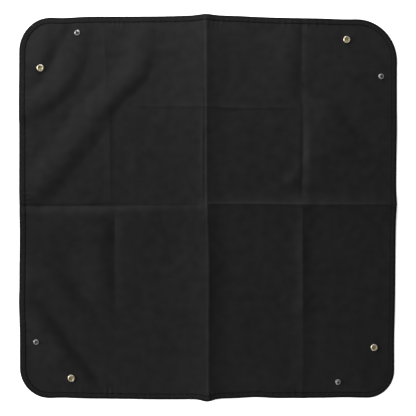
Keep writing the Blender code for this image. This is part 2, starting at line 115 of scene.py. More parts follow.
# Creases and soft folds, in millimetres: ridges have heights over zero, valleys under it. Each has its
# path, directed so that the side which faces the light is on its left, its height at each point, how
# far its lit and its shaded side reach, and how sharp it is
CRISP = 2.4
SOFT = 0
FOLDS = (
    # Centre crease, front to back, with a pleat beside it and the broad tent under it
    (((2, -343), (1, -200), (1, -100), (-2, 40), (-3, 343)), (5.0, 6.0, 6.0, 3.4, 4.4), 80, 42, CRISP),
    (((0, -343), (-1, -100), (-4, 40), (-6, 343)), (0.7, 0.3, 0.7, 0.9), 5, 5, CRISP),
    (((-11, 14), (-11, 120), (-10, 210)), (0.3, 0.8, 0.3), 10, 3, CRISP),
    (((0, -343), (-4, 0), (-8, 343)), (2.0, 1.0, 2.0), 90, 110, SOFT),
    # Cross crease: a valley to the left with a ridge in front of it, and a ridge to the right
    (((-20, 7), (-168, 6), (-250, 5), (-338, 5)), (-0.8, -1.4, -1.5, -1.5), 18, 7, CRISP),
    (((-338, -12), (-250, -13), (-170, -11), (-100, -6), (-20, -5)), (3.0, 3.8, 3.0, 2.4, 0.8), 20, 70, SOFT),
    (((2, 10), (100, 10), (167, 9), (338, 10)), (2.6, 4.2, 4.8, 4.2), 26, 70, CRISP),
    (((2, 9), (100, 9), (167, 8), (338, 9)), (0.8, 0.9, 0.9, 0.7), 6, 4, CRISP),
    # Left quarter crease
    (((-168, -12), (-169, -90), (-167, -176)), (-1.2, -1.8, -1.0), 20, 24, CRISP),
    (((-196, -176), (-196, -110), (-200, -40), (-214, -12)), (1.0, 2.6, 3.0, 1.6), 50, 32, SOFT),
    (((-176, 20), (-177, 100), (-178, 184)), (0.8, 0.9, 0.6), 30, 11, CRISP),
    (((-184, 222), (-186, 280), (-190, 336)), (0.5, 0.7, 0.5), 9, 14, CRISP),
    # Right quarter crease
    (((171, -343), (171, -280), (170, -176)), (1.2, 1.4, 1.8), 26, 26, CRISP),
    (((170, -176), (169, -80), (168, 4)), (2.6, 3.4, 2.2), 28, 34, CRISP),
    (((168, 184), (168, 100), (167, 30)), (-0.4, -1.0, -1.0), 16, 8, CRISP),
    (((184, 20), (185, 100), (184, 190)), (0.8, 3.0, 1.0), 18, 110, SOFT),
    (((166, 332), (166, 260), (167, 190)), (-0.7, -1.2, -0.8), 14, 20, CRISP),
    (((146, 190), (145, 260), (146, 330)), (0.4, 1.4, 0.6), 40, 22, SOFT),
    # Quarter creases across
    (((-130, 183), (0, 183), (40, 181), (150, 182)), (0.4, 0.7, 1.2, 0.5), 16, 7, CRISP),
    (((-300, -174), (-170, -176), (168, -175), (300, -172)), (0.2, 0.4, 0.4, 0.2), 12, 12, CRISP),
    # Billows over the back left corner, from the corner inwards
    (((-316, 238), (-292, 280), (-266, 326)), (2.4, 3.6, 2.2), 44, 22, SOFT),
    (
        ((-330, 172), (-290, 192), (-254, 228), (-236, 276), (-226, 330)),
        (2.4, 3.8, 3.6, 2.8, 1.4), 46, 24, SOFT,
    ),
    (((-326, 16), (-286, 55), (-222, 136), (-192, 178)), (2.4, 4.0, 4.2, 2.2), 44, 32, SOFT),
    (
        ((-192, 178), (-156, 214), (-126, 244), (-116, 282), (-112, 334)),
        (2.2, 3.8, 3.8, 2.4, 0.8), 40, 22, SOFT,
    ),
    # Back right corner: a slanting valley between two ridges
    (((174, 206), (224, 198), (247, 166), (308, 96)), (-1.0, -1.6, -1.6, -0.8), 60, 18, SOFT),
    (((290, 84), (246, 130), (216, 170), (190, 186)), (1.0, 2.4, 2.6, 1.4), 70, 26, SOFT),
    (((330, 150), (290, 190), (250, 230)), (1.2, 2.4, 1.4), 70, 30, SOFT),
    # Front left corner: a slanting ridge with a valley behind it, and the same further in
    (((-226, -304), (-260, -262), (-292, -216), (-324, -176)), (3.2, 6.0, 5.8, 3.0), 56, 24, SOFT),
    (((-300, -156), (-264, -200), (-232, -246), (-204, -290)), (-1.0, -2.0, -2.0, -1.0), 46, 24, SOFT),
    (((-226, -188), (-254, -156), (-288, -130), (-328, -114)), (1.8, 4.8, 4.8, 2.4), 48, 26, SOFT),
    (((-300, -88), (-258, -108), (-228, -141), (-204, -186)), (-0.8, -1.8, -1.8, -0.6), 40, 24, SOFT),
    # Left edge, raised a little
    (((-336, -150), (-338, -60), (-338, 60), (-336, 140)), (0.8, 2.2, 2.2, 0.8), 10, 150, SOFT),
    # Billow beside the right quarter crease
    (((156, 92), (146, 74), (128, 56)), (-0.4, -1.2, -0.3), 18, 18, SOFT),
    (((128, 38), (148, 54), (162, 78)), (0.3, 1.6, 0.5), 22, 18, SOFT),
)

# Waves of the slack cloth: wavelength, height and seed; how many plane waves make each, and between
# which multiples their wave numbers lie, in the cloth and along the rim
SLACK_WAVES = ((150 * MM, 0.45 * MM, 3), (48 * MM, 0.12 * MM, 5), (17 * MM, 0.03 * MM, 8))
WAVE_COUNT = 14
WAVE_SPREAD = (0.75, 1.35)
RIM_WAVE_SPREAD = (0.6, 1.5)

# Puckers that the tape's seam draws into the cloth
PUCKER_HEIGHT = 0.28 * MM
PUCKER_LENGTH = 11 * MM
PUCKER_REACH = 9 * MM
PUCKER_SEED = 21

# Flat seat of the cloth under each snap, and the hole for its barrel
SEAT_RADIUS = 8.5 * MM
SEAT_FADE = 18 * MM
HOLE_RADIUS = 2.4 * MM

# Tape folded over the rim: its reach, the step along it, and its outer and inner section as distances
# from the rim and heights over the cloth, in millimetres
TAPE_WIDTH = 10.5 * MM
TAPE_STEP = 2.5 * MM
TAPE_SECTION = (
    (10.5, 0.30), (10.2, 0.52), (9.4, 0.50), (8.8, 0.42), (8.0, 0.56), (6.4, 0.72),
    (4.4, 0.76), (2.4, 0.66), (1.1, 0.46), (0.35, 0.10),
)
TAPE_INNER = ((0.9, 0.05), (4.0, 0.16), (8.8, 0.08), (10.4, 0.06))
TAPE_SHARP_ANGLE = math.radians(50)

# Tape between rim and seam puffs up and down, and its inner edge sways in and out
PUFF_HEIGHT = 0.22 * MM
PUFF_LENGTH = 9 * MM
PUFF_WIDTH = 9 * MM
PUFF_SEED = 31
SWAY_REACH = 0.22 * MM
SWAY_LENGTH = 30 * MM
SWAY_FROM = 7 * MM
SWAY_SEED = 37

# Stitches: their place from the rim and over the cloth, pitch, length and thread, and one stitch's
# rings as shares of its length and of the thread's radius
STITCH_PLACE = 8.9 * MM
STITCH_RISE = 0.50 * MM
STITCH_PITCH = 3.2 * MM
STITCH_LENGTH = 2.6 * MM
THREAD_RADIUS = 0.26 * MM
THREAD_SIDES = 6
THREAD_FLATNESS = 0.8
STITCH_PLACE_SHARES = (-0.5, -0.42, -0.2, 0.2, 0.42, 0.5)
STITCH_SINK_SHARES = (-0.9, -0.25, 0.1, 0.1, -0.25, -0.9)
STITCH_RADIUS_SHARES = (0.35, 0.9, 1.0, 1.0, 0.9, 0.35)

# Snaps: the distance over which the plate changes colour, how far edges are rounded, and the barrel
# and flange under the cloth
SNAP_REACH = 10 * MM
SNAP_STEPS = 64
SNAP_SHARP_ANGLE = math.radians(45)
EDGE_ROUND = 0.22 * MM
EDGE_ROUNDS = 2
CUT_SHARE = 0.25
BARREL_RADIUS = 2.0 * MM
FLANGE_TOP = 1.7 * MM

# Socket: distances in from its outer radius and down from its top (for the foot up from its base), its
# bore's radius, and the thickness of its floor and wall
SOCKET_CREST = 1.4 * MM
SOCKET_SHOULDER = (0.55 * MM, 0.30 * MM)
SOCKET_SIDE = (0.18 * MM, 1.1 * MM)
SOCKET_FOOT = (0.2 * MM, 0.6 * MM)
SOCKET_BORE = 2.3 * MM
SOCKET_FLOOR = 0.4 * MM
SOCKET_WALL = 1.0 * MM
SOCKET_GROOVE_TOP = 0.8 * MM
SOCKET_LIP = (2.9 * MM, 0.3 * MM)
SOCKET_LIP_EDGE = (2.5 * MM, 0.12 * MM)

# Stud: how far its flange stands out, the nub's wall, mouth, bead and neck, and its flange
STUD_FLANGE_REACH = 1.85 * MM
STUD_WALL = 0.65 * MM
STUD_MOUTH = 0.3 * MM
STUD_BEAD_TOP = 0.35 * MM
STUD_BEAD_FOOT = 0.9 * MM
STUD_NECK_TOP = 1.2 * MM
STUD_NECK = 0.35 * MM
STUD_FLANGE = 0.8 * MM
STUD_FLANGE_EDGE = 0.3 * MM

# Post: its bore, its flange's edge and its foot's outer radius
POST_BORE = 1.6 * MM
POST_EDGE = 0.4 * MM
POST_FOOT = 2.8 * MM

# Cap: the dent in its barrel, the head spread from it, its edge, and its dome's flat share and steps
CAP_DENT_RADIUS = 1.4 * MM
CAP_DENT_DEPTH = 1.2 * MM
CAP_HEAD_RADIUS = 3.0 * MM
CAP_HEAD = 0.3 * MM
CAP_EDGE = 0.5 * MM
CAP_FLAT_SHARE = 0.45
CAP_STEPS = 8

# Pitch of the cloth's weave and the tape's ribs, the depth of their relief and of the plate's
# scratches, and the shares of the tape's width between which painted shade darkens its fold and inner edge
WEAVE_PITCH = (0.60 * MM, 0.56 * MM)
RIB_PITCH = (0.55 * MM, 1.1 * MM)
WEAVE_DEPTH = 0.12 * MM
SCRATCH_DEPTH = 0.05 * MM
TAPE_PAINTED_SHADE_SHARES = (0.24, 0.42, 0.84, 0.94)

# Floor: half its width, its depth under the mat, the reach of the shade on it, and its open glow
FLOOR_HALF = 6.0
FLOOR_DEPTH = 0.05 * MM
FLOOR_SHADE_REACH = 10 * MM
FLOOR_GLOW = 0.75

# Lights: name, place, aim, width and power in watts; and the strength of the pale surroundings
LIGHTS = (
    ("Key", (-6.35, 1.40, 2.55), (0, 0, 0), 3.2, 1030),
    ("Fill", (0.6, 0.2, 1.8), (0, 0, 0), 1.2, 1),
    ("Back", (-0.1, 0.95, 0.36), (-0.05, 0.2, 0), 0.4, 10),
    ("Front", (0, -0.95, 0.36), (0, -0.2, 0), 0.4, 2.5),
)
WORLD_STRENGTH = 0.35

# Camera, fitted to the four corners of the mat in the photo
CAMERA_PLACE = (-46.3 * MM, 48.1 * MM, 1.6)
CAMERA_TURN = (math.radians(-1.663), math.radians(-1.599), math.radians(0.208))
CAMERA_LENS = 77.12

SIDES = ("right", "back", "left", "front")
SIDE_WAYS = ((1, 0), (0, 1), (-1, 0), (0, -1))
CORNERS = ("back_right", "back_left", "front_left", "front_right")
CORNER_SIGNS = ((1, 1), (-1, 1), (-1, -1), (1, -1))
JOINTS = {joint["name"]: joint for joint in frame["joints"]}
CLOTH_TOP = JOINTS["fold_right"]["pos_m"][2]

# Walls and corners by the grid's column and row: low, middle and high
WALL_AT = {(2, 1): 0, (1, 2): 1, (0, 1): 2, (1, 0): 3}
CORNER_AT = {(2, 2): 0, (0, 2): 1, (0, 0): 2, (2, 0): 3}


def outward(side):
    """Return the level direction out through one side of the fold square."""
    axis = JOINTS["fold_" + SIDES[side % 4]]["axis"]
    return np.array([-axis[1], axis[0]])


def fold_point(corner):
    """Return the point where the folds of one corner meet."""
    name = CORNERS[corner % 4]
    return np.array(JOINTS[f"pinch_{name}_stud_flap"]["pos_m"][:2])


def snap_centre(node):
    """Return the centre of a snap's piece."""
    low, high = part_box(node)
    return np.array([(low.x + high.x) / 2, (low.y + high.y) / 2])


HALF_MAT = np.array([CAD_BOX[1].x, CAD_BOX[1].y])
HALF_SQUARE = (fold_point(0) @ outward(0), fold_point(0) @ outward(1))
SNAPS = [snap_centre(kind + corner) for corner in CORNERS for kind in ("socket_", "stud_")]


def side_of(name):
    """Return the number of the side that a wall's panel stands on."""
    return SIDES.index(name.removeprefix("wall_"))


def corner_of(name):
    """Return the number of the corner that a flap's panel belongs to."""
    return next(index for index, known in enumerate(CORNERS) if name.startswith(known))


def face_height(level):
    """Return the height of the flat cloth's upper face, for level 1, or lower face, for level -1."""
    return CLOTH_TOP - CLOTH_THICKNESS * (1 - level) / 2


def smooth_line(points):
    """Return points along a smooth curve through the given ones, and each one's place among them."""
    steps = 24
    points = np.array(points, float)
    padded = np.vstack([2 * points[0] - points[1], points, 2 * points[-1] - points[-2]])
    share = np.linspace(0, 1, steps, endpoint=False)[:, None]
    parts = []
    for before, start, end, after in zip(padded, padded[1:], padded[2:], padded[3:]):
        parts.append(
            start
            + share * (end - before) / 2
            + share ** 2 * (before - 2.5 * start + 2 * end - after / 2)
            + share ** 3 * (1.5 * (start - end) + (after - before) / 2)
        )
    parts.append(points[-1:])
    line = np.vstack(parts)
    return line, np.arange(len(line)) / steps


def nearest_on(places, line):
    """Return the index of the nearest point of a line for each place, worked out batch by batch."""
    batch = 4000
    found = np.zeros(len(places), int)
    for start in range(0, len(places), batch):
        part = places[start:start + batch]
        away = ((part[:, None, :] - line[None, :, :]) ** 2).sum(2)
        found[start:start + batch] = away.argmin(1)
    return found


def unit(vectors):
    """Return the vectors at length one."""
    return vectors / np.linalg.norm(vectors, axis=1)[:, None]


def fold_lift(places, path, heights, lit_width, shaded_width, sharpness):
    """Return how far one fold lifts the cloth at each place."""
    line, stations = smooth_line(np.array(path) * MM)
    margin = max(lit_width, shaded_width) * MM
    near = ((places > line.min(0) - margin) & (places < line.max(0) + margin)).all(1)
    lift = np.zeros(len(places))
    if not near.any():
        return lift
    along = unit(np.gradient(line, axis=0))
    to_left = np.stack([-along[:, 1], along[:, 0]], 1)
    nearest = nearest_on(places[near], line)
    offset = places[near] - line[nearest]
    side = (offset * to_left[nearest]).sum(1)
    ahead = (offset * along[nearest]).sum(1)
    beyond = np.where(nearest == 0, np.maximum(-ahead, 0), 0)
    beyond += np.where(nearest == len(line) - 1, np.maximum(ahead, 0), 0)
    width = np.where(side > 0, lit_width, shaded_width) * MM
    end_width = (lit_width + shaded_width) / 2 * MM
    reach = np.minimum(np.hypot(side / width, beyond / end_width), 1)
    shape = (1 - reach) ** sharpness if sharpness else (1 - reach ** 2) ** 2
    height = np.interp(stations, np.arange(len(heights)), heights) * MM
    lift[near] = shape * height[nearest]
    return lift


def waves(places, wavelength, height, seed):
    """Return a sum of plane waves that run every way."""
    random = np.random.default_rng(seed)
    turn = random.uniform(0, 2 * math.pi, WAVE_COUNT)
    phase = random.uniform(0, 2 * math.pi, WAVE_COUNT)
    number = 2 * math.pi / wavelength * random.uniform(*WAVE_SPREAD, WAVE_COUNT)
    ways = np.stack([np.cos(turn), np.sin(turn)]) * number
    return height * np.sin(places @ ways + phase).sum(1) / math.sqrt(WAVE_COUNT)


def along_rim(stations, wavelength, seed):
    """Return waves of about unit height along the rim, which meet themselves where it closes."""
    random = np.random.default_rng(seed)
    total = np.zeros(len(stations))
    turns = RIM_LENGTH / wavelength
    for _ in range(WAVE_COUNT):
        count = round(turns * random.uniform(*RIM_WAVE_SPREAD))
        total += np.sin(2 * math.pi * count * stations / RIM_LENGTH + random.uniform(0, 2 * math.pi))
    return total / math.sqrt(WAVE_COUNT)


def make_outline():
    """Return the mat's outline, counter-clockwise, as even points, outward directions and its length."""
    points, facing = [], []
    for corner, signs in enumerate(CORNER_SIGNS):
        radius = CORNER_RADII[corner]
        centre = np.array(signs) * (HALF_MAT - radius)
        angles = np.radians(np.linspace(90 * corner, 90 * corner + 90, CORNER_STEPS))
        ways = np.stack([np.cos(angles), np.sin(angles)], 1)
        points.append(centre + ways * radius)
        facing.append(ways)
        following = (corner + 1) % 4
        after = np.array(CORNER_SIGNS[following]) * (HALF_MAT - CORNER_RADII[following])
        after = after + ways[-1] * CORNER_RADII[following]
        share = np.linspace(0, 1, SIDE_STEPS, endpoint=False)[1:, None]
        points.append(points[-1][-1] + (after - points[-1][-1]) * share)
        facing.append(np.repeat(ways[-1:], len(share), 0))
    points, facing = np.vstack(points), np.vstack(facing)
    for side, swellings in enumerate(EDGE_SWELLINGS.values()):
        way = np.array(SIDE_WAYS[side])
        place = points[:, 1 - side % 2]
        share = np.clip(facing @ way, 0, 1) ** 2
        for centre, width, reach in swellings:
            swell = reach * MM * np.exp(-(((place - centre * MM) / (width * MM)) ** 2))
            points = points + (share * swell)[:, None] * way
    closed = np.vstack([points, points[:1]])
    run = np.concatenate([[0], np.cumsum(np.linalg.norm(np.diff(closed, axis=0), axis=1))])
    count = round(run[-1] / TAPE_STEP)
    even = np.arange(count) * run[-1] / count
    rim = np.stack([np.interp(even, run, closed[:, axis]) for axis in (0, 1)], 1)
    tangent = unit(np.roll(rim, -1, 0) - np.roll(rim, 1, 0))
    return rim, np.stack([tangent[:, 1], -tangent[:, 0]], 1), run[-1]


RIM, RIM_FACING, RIM_LENGTH = make_outline()


def rim_reading(places):
    """Return each place's distance inside the rim, its station along it and its nearest rim point.

    Places deep inside the mat are given the depth of the band alone.
    """
    deep = (np.abs(places) < HALF_MAT - RIM_BAND).all(1)
    nearest = np.zeros(len(places), int)
    nearest[~deep] = nearest_on(places[~deep], RIM)
    offset = places - RIM[nearest]
    inside = np.where(deep, RIM_BAND, -(offset * RIM_FACING[nearest]).sum(1))
    tangent = np.stack([-RIM_FACING[nearest, 1], RIM_FACING[nearest, 0]], 1)
    station = nearest * RIM_LENGTH / len(RIM) + (offset * tangent).sum(1)
    return inside, station, nearest


def ease(share):
    """Return a smooth step from zero to one."""
    share = np.clip(share, 0, 1)
    return share * share * (3 - 2 * share)


def flap_room(shallower, deeper):
    """Return the room over the cloth up to the corner's middle plane when the walls are folded.

    The depths are those beyond the two folds that meet at the corner.
    """
    by_wall = math.cos(WALL_TURN) / math.sqrt(2)
    by_flap = (math.cos(FLAP_TURN) - math.sin(FLAP_TURN) * math.sin(WALL_TURN)) / math.sqrt(2)
    room = by_wall * deeper - by_flap * np.maximum(shallower, 0) + np.maximum(-shallower, 0)
    return room - FLAP_CLEARANCE


def relief(places):
    """Return how far the cloth is lifted at each place, and its lift by the folds alone.

    The first leaves room between the folded flaps. The cloth is shaded by the second.
    """
    lift = np.zeros(len(places))
    for fold in FOLDS:
        lift += fold_lift(places, *fold)
    for wave in SLACK_WAVES:
        lift += waves(places, *wave)
    inside, station, _ = rim_reading(places)
    pucker = along_rim(station, PUCKER_LENGTH, PUCKER_SEED)
    lift += PUCKER_HEIGHT * pucker * np.exp(-((inside - TAPE_WIDTH) / PUCKER_REACH) ** 2)
    depth = np.abs(np.stack([places @ outward(0), places @ outward(1)])) - np.array(HALF_SQUARE)[:, None]
    shallower, deeper = depth.min(0), depth.max(0)
    sag = FLAP_SAG * ease((shallower + FLAP_LEAD) / FLAP_FADE)
    free = np.ones(len(places))
    for centre in SNAPS:
        away = np.linalg.norm(places - centre, axis=1)
        free *= ease((away - SEAT_RADIUS) / SEAT_FADE)
    beyond_tape = ease(inside / TAPE_WIDTH - 1)
    room = flap_room(shallower, deeper) - TAPE_CLEARANCE * (1 - beyond_tape)
    room = np.maximum(room, LEAST_ROOM)
    lowest = LOWEST_RIM_LIFT + (LOWEST_LIFT - LOWEST_RIM_LIFT) * beyond_tape
    folds = np.where(lift < 0, lowest * np.tanh(lift / lowest), lift)
    lift = (lift - sag) * free
    lift = np.where(lift > 0, room * np.tanh(lift / room), lift)
    return np.where(lift < 0, lowest * np.tanh(lift / lowest), lift), folds


def grid_lines(half, reach, fine_zones):
    """Return the grid's lines one way, finer in the zones and the bends, and how many lie outside."""
    sample = np.linspace(-half, half, GRID_SAMPLES)
    step = np.full(len(sample), CELL)
    for low, high in fine_zones:
        near = np.clip(np.maximum(low * MM - sample, sample - high * MM) / FINE_FADE, 0, 1)
        step = np.minimum(step, FINE_CELL + (CELL - FINE_CELL) * near)
    count = np.concatenate([[0], np.cumsum(np.diff(sample) / step[1:])])
    inner = np.interp(np.linspace(0, count[-1], math.ceil(count[-1]) + 1), count, sample)
    outer = list(np.arange(BEND_STEP, BEND_WIDTH + BEND_STEP / 2, BEND_STEP))
    while outer[-1] < reach:
        outer.append(outer[-1] + CELL)
    outer = half + np.array(outer)
    return np.concatenate([-outer[::-1], inner, outer]), len(outer)


def label_cells(across, up, outside):
    """Return the quads and triangles of the grid by panel, as indices of its crossings."""
    columns, rows = len(across), len(up)
    last_column, last_row = columns - 1 - outside, rows - 1 - outside
    panels = {}
    for i in range(columns - 1):
        column = 0 if i < outside else 2 if i >= last_column else 1
        for j in range(rows - 1):
            row = 0 if j < outside else 2 if j >= last_row else 1
            quad = [i * rows + j, (i + 1) * rows + j, (i + 1) * rows + j + 1, i * rows + j + 1]
            if column == 1 and row == 1:
                panels.setdefault("base", []).append(quad)
            elif column == 1 or row == 1:
                panels.setdefault("wall_" + SIDES[WALL_AT[column, row]], []).append(quad)
            else:
                corner = CORNER_AT[column, row]
                depth_x = i - last_column if column == 2 else outside - 1 - i
                depth_y = j - last_row if row == 2 else outside - 1 - j
                for cell, is_x in split_cell(quad, depth_x, depth_y, corner):
                    kind = "stud" if is_x == (corner % 2 == 0) else "socket"
                    panels.setdefault(f"{CORNERS[corner]}_{kind}_flap", []).append(cell)
    return panels


def split_cell(quad, depth_x, depth_y, corner):
    """Return a corner's cell, cut in two on the diagonal, with whether it lies on the X side."""
    if depth_x != depth_y:
        return [(quad, depth_x > depth_y)]
    a, b, c, d = quad
    if corner % 2 == 0:
        return [([a, b, c], corner == 0), ([a, c, d], corner == 2)]
    return [([a, b, d], corner == 1), ([b, c, d], corner == 3)]


def rim_edges(faces):
    """Return the edges that only one face has, in that face's direction."""
    edges = set()
    for face in faces:
        edges.update(zip(face, face[1:] + face[:1]))
    return [edge for edge in edges if edge[::-1] not in edges]


def add_mesh(name, points, faces, material, smooth=True):
    """Make an object from points and faces."""
    mesh = bpy.data.meshes.new(name)
    mesh.from_pydata(points, [], faces)
    mesh.materials.append(material)
    if smooth:
        mesh.polygons.foreach_set("use_smooth", np.ones(len(mesh.polygons), bool))
    new_object = bpy.data.objects.new(name, mesh)
    bpy.context.scene.collection.objects.link(new_object)
    return new_object


def set_uv(piece, plane):
    """Give a piece a UV map in metres from one pair of numbers a vertex."""
    layer = piece.data.uv_layers.new(name="Cut")
    index = np.zeros(len(piece.data.loops), int)
    piece.data.loops.foreach_get("vertex_index", index)
    layer.data.foreach_set("uv", plane[index].astype(np.float32).ravel())


def all_faces(panels):
    """Return the faces of all panels in one list."""
    return [face for faces in panels.values() for face in faces]


def pierce(panels, places):
    """Open the cloth for each snap's barrel, by a ring of the points nearest to it."""
    for centre in SNAPS:
        nearest = int(np.linalg.norm(places - centre, axis=1).argmin())
        ring = {index for face in all_faces(panels) if nearest in face for index in face} - {nearest}
        for index in ring:
            away = places[index] - centre
            places[index] = centre + away / np.linalg.norm(away) * HOLE_RADIUS
        for name, faces in panels.items():
            panels[name] = [face for face in faces if nearest not in face]


def vertex_normals(points, faces, material):
    """Return the normals that a mesh of the given points and faces has at its points."""
    whole = add_mesh("Whole", points, faces, material)
    normals = np.zeros(len(points) * 3, np.float32)
    whole.data.vertices.foreach_get("normal", normals)
    bpy.data.objects.remove(whole, do_unlink=True)
    return normals.reshape(-1, 3)


def make_cloth(material):
    """Make the cloth as panels on one lifted grid, and return each with its flat size by name."""
    reach = HALF_MAT[0] - HALF_SQUARE[0] + GRID_OVERRUN
    across, outside = grid_lines(HALF_SQUARE[0], reach, FINE_ZONES_ACROSS)
    up, _ = grid_lines(HALF_SQUARE[1], reach, FINE_ZONES_UP)
    grid = np.stack(np.meshgrid(across, up, indexing="ij"), 2).reshape(-1, 2)
    places = grid[:, :1] * outward(0) + grid[:, 1:] * outward(1)
    inside, _, nearest = rim_reading(places)
    panels = label_cells(across, up, outside)
    kept = inside > KEPT_INSET
    panels = {name: [face for face in faces if kept[face].all()] for name, faces in panels.items()}
    border = np.array(sorted({index for edge in rim_edges(all_faces(panels)) for index in edge}))
    places[border] += RIM_FACING[nearest[border]] * (inside[border] - RIM_INSET)[:, None]
    pierce(panels, places)
    lift, folds = relief(places)
    heights = CLOTH_TOP + lift
    normals = vertex_normals(np.column_stack([places, CLOTH_TOP + folds]), all_faces(panels), material)
    made = {}
    for name, faces in panels.items():
        made[name] = make_panel(name, faces, places, heights, normals, grid, material)
    return made


def make_panel(name, faces, places, heights, normals, grid, material):
    """Make one panel of cloth, with two faces and its cut edge, and return it with its flat size."""
    used = np.unique(np.concatenate([np.array(face) for face in faces]))
    place_of = {old: new for new, old in enumerate(used)}
    top = [[place_of[index] for index in face] for face in faces]
    count = len(used)
    under = [[index + count for index in face[::-1]] for face in top]
    edge = [[b, a, a + count, b + count] for a, b in rim_edges(top)]
    upper = np.column_stack([places[used], heights[used]])
    lower = upper - [0, 0, CLOTH_THICKNESS]
    panel = add_mesh("cloth_" + name, np.vstack([upper, lower]), top + under + edge, material)
    set_uv(panel, np.vstack([grid[used], grid[used]]))
    facing = np.vstack([normals[used], -normals[used]])
    panel.data.normals_split_custom_set_from_vertices(facing.tolist())
    span = np.ptp(places[used] @ np.stack([outward(0), outward(1)], 1), axis=0)
    area = sum(polygon_area(places[np.array(face)]) for face in faces)
    return panel, (float(span[0]), float(span[1]), float(area))


def polygon_area(points):
    """Return the area of a flat polygon."""
    x, y = points[:, 0], points[:, 1]
    return abs(np.dot(x, np.roll(y, -1)) - np.dot(y, np.roll(x, -1))) / 2


def body_of_panel(name):
    """Return the body that a panel rides on, the body it bends from, and the direction away."""
    if name == "base":
        return "base", None, None
    if name.startswith("wall_"):
        return name, "base", outward(side_of(name))
    corner = corner_of(name)
    if "stud" in name:
        return name, "wall_" + SIDES[corner], outward(corner + 1)
    return name, "wall_" + SIDES[(corner + 1) % 4], outward(corner)


def bend_with(piece, name):
    """Make a piece ride on the base, or else bake its place into its mesh."""
    body, parent, away = body_of_panel(name)
    if parent is None:
        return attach(piece, body)
    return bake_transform(piece)


def panel_planes(name):
    """Return the planes that bound a panel along the rim, as points and directions to keep."""
    if name.startswith("wall_"):
        side = side_of(name)
        return ((fold_point(side), -outward(side + 1)), (fold_point(side - 1), -outward(side - 1)))
    corner = corner_of(name)
    first, second = outward(corner), outward(corner + 1)
    if "socket" in name:
        first, second = second, first
    point = fold_point(corner)
    return ((point, second), (point, (first - second) / np.linalg.norm(first - second)))


def rim_run(name):
    """Return the rim's points, outward directions and stations along one panel, between its planes."""
    planes = panel_planes(name)
    if name.startswith("wall_"):
        inside = RIM @ outward(side_of(name)) > 0
    else:
        corner = corner_of(name)
        inside = (RIM - fold_point(corner)) @ (outward(corner) + outward(corner + 1)) > 0
    for point, normal in planes:
        inside &= (RIM - point) @ normal > 0
    count = len(RIM)
    start = next(i for i in range(count) if inside[i] and not inside[i - 1])
    order = [(start + k) % count for k in range(int(inside.sum()))]
    step = RIM_LENGTH / count
    stations = [start * step + k * step for k in range(len(order))]
    points, facing = [RIM[i] for i in order], [RIM_FACING[i] for i in order]
    ends = []
    for first, second in ((order[0], (order[0] - 1) % count), (order[-1], (order[-1] + 1) % count)):
        share = min(cross_share(RIM[first], RIM[second], plane) for plane in planes)
        spot = RIM[first] + (RIM[second] - RIM[first]) * share
        ends.append((spot, facing_between(first, second, share), share))
    points = [ends[0][0]] + points + [ends[1][0]]
    facing = [ends[0][1]] + facing + [ends[1][1]]
    stations = [stations[0] - step * ends[0][2]] + stations + [stations[-1] + step * ends[1][2]]
    return np.array(points), np.array(facing), np.array(stations), planes


def facing_between(first, second, share):
    """Return the outward direction between two rim points."""
    mixed = RIM_FACING[first] + (RIM_FACING[second] - RIM_FACING[first]) * share
    return mixed / np.linalg.norm(mixed)


def cross_share(inner, outer, plane):
    """Return how far along the step from an inner to an outer point a plane is met."""
    point, normal = plane
    near, far = (inner - point) @ normal, (outer - point) @ normal
    return near / (near - far) if far < 0 else 1.0


def slide_to_plane(spot, tangent, planes):
    """Slide a place at the tape's end along the tape onto the nearer plane."""
    point, normal = min(planes, key=lambda plane: abs((spot - plane[0]) @ plane[1]))
    return spot + tangent * ((point - spot) @ normal / (tangent @ normal))


def make_tape(name, material):
    """Make the tape folded over the rim along one panel."""
    points, facing, stations, planes = rim_run(name)
    tangents = np.stack([-facing[:, 1], facing[:, 0]], 1)
    section = [(d, h, 1) for d, h in TAPE_SECTION] + [(0, 0, 0)]
    section += [(d, h, -1) for d, h in TAPE_SECTION[::-1]]
    section += [(d, h, -1) for d, h in TAPE_INNER[::-1]]
    section += [(d, h, 1) for d, h in TAPE_INNER]
    swell = along_rim(stations, PUFF_LENGTH, PUFF_SEED)
    sway = along_rim(stations, SWAY_LENGTH, SWAY_SEED)
    lines, plane = [], []
    for distance, height, level in section:
        distance *= MM
        waver = SWAY_REACH * sway * (distance > SWAY_FROM)
        flat = points - facing * (distance + waver)[:, None]
        for end in (0, -1):
            flat[end] = slide_to_plane(flat[end], tangents[end], planes)
        puff = math.sin(math.pi * min(distance / PUFF_WIDTH, 1)) * PUFF_HEIGHT * swell
        rise = face_height(level) + relief(flat)[0]
        lines.append(np.column_stack([flat, rise + level * (height * MM + puff)]))
        plane.append(np.column_stack([stations, np.full(len(stations), distance * (level or 1))]))
    ring_points = np.array(lines).transpose(1, 0, 2).reshape(-1, 3)
    piece = add_mesh("tape_" + name, ring_points, tube_faces(len(section), len(points)), material)
    piece.data.set_sharp_from_angle(angle=TAPE_SHARP_ANGLE)
    set_uv(piece, np.array(plane).transpose(1, 0, 2).reshape(-1, 2))
    return piece


def tube_faces(sides, rings, first=0):
    """Return the faces of a closed tube, whose points follow ring by ring from the first."""
    faces = []
    last = first + (rings - 1) * sides
    for low in range(first, last, sides):
        high = low + sides
        for i in range(sides):
            j = (i + 1) % sides
            faces.append([low + i, low + j, high + j, high + i])
    faces.append([first + i for i in range(sides)][::-1])
    faces.append([last + i for i in range(sides)])
    return faces


